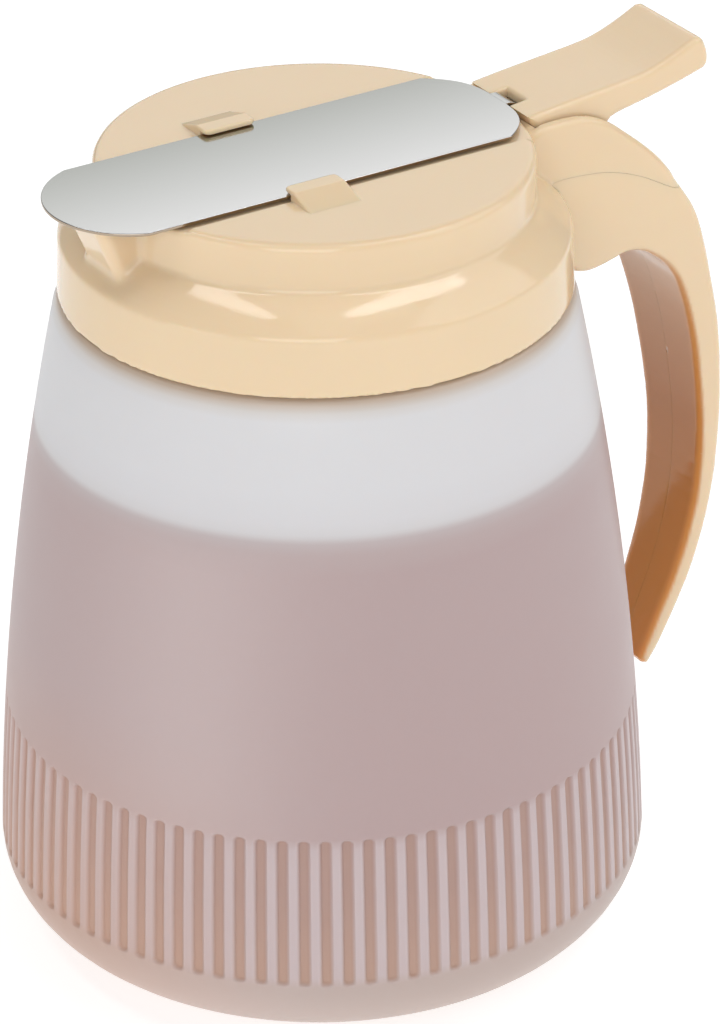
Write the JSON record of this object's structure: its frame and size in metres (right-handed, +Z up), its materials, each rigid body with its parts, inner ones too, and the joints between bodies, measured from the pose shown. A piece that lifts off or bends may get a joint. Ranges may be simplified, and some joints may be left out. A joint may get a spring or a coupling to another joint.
{
  "type": "syrup server",
  "caption": "Syrup server: frosted jar with a ribbed grip band, screw-on lid with pouring beak, hung handle, and a thumb lever that draws a steel cut-off gate back over the beak.",
  "frame": {"origin": "centre of the jar's underside, on the surface that the server stands on", "axes": "+Z up along the jar's axis, -X towards the pouring beak, +X towards the handle, +Y to the right of someone who holds the handle and faces the beak"},
  "size_m": [0.1668, 0.14, 0.1852],
  "materials": {
    "jar_plastic": "frosted natural polyethylene, translucent, showing the level of the syrup inside",
    "cream_plastic": "smooth moulded cream plastic with a soft gloss",
    "seal_rubber": "matt food-grade silicone",
    "gate_steel": "polished stainless sheet with a fine lengthwise grain",
    "pin_steel": "ground stainless wire"
  },
  "bodies": {
    "jar": {"jar": "jar_plastic"},
    "seal": {"seal_ring": "seal_rubber"},
    "lid": {"lid": "cream_plastic", "handle_half_left": "cream_plastic", "handle_half_right": "cream_plastic", "lever_pin": "pin_steel"},
    "lever": {"thumb_lever": "cream_plastic", "lever_spring": "pin_steel"},
    "gate": {"slide_gate": "gate_steel"}
  },
  "joints": [
    {"name": "lid_rise", "type": "slide", "parent": "jar", "child": "seal", "axis": [0, 0, 1], "range_m": [0, 0.01]},
    {"name": "lid_turn", "type": "hinge", "parent": "seal", "child": "lid", "pos_m": [0, 0, 0.15], "axis": [0, 0, 1], "range_deg": [0, 720.5]},
    {"name": "lever_press", "type": "hinge", "parent": "lid", "child": "lever", "pos_m": [0.06, 0, 0.151], "axis": [0, 1, 0], "range_deg": [0, 28], "stiffness_Nm_per_rad": 0.25, "springref_deg": -20.05},
    {"name": "gate_slide", "type": "slide", "parent": "lid", "child": "gate", "axis": [1, 0, 0], "range_m": [0, 0.0125]}
  ],
  "couplings": [
    {"joint": "lid_turn", "follows": "lid_rise", "rad_per_m": 1256.6},
    {"joint": "gate_slide", "follows": "lever_press", "m_per_rad": 0.0255}
  ]
}
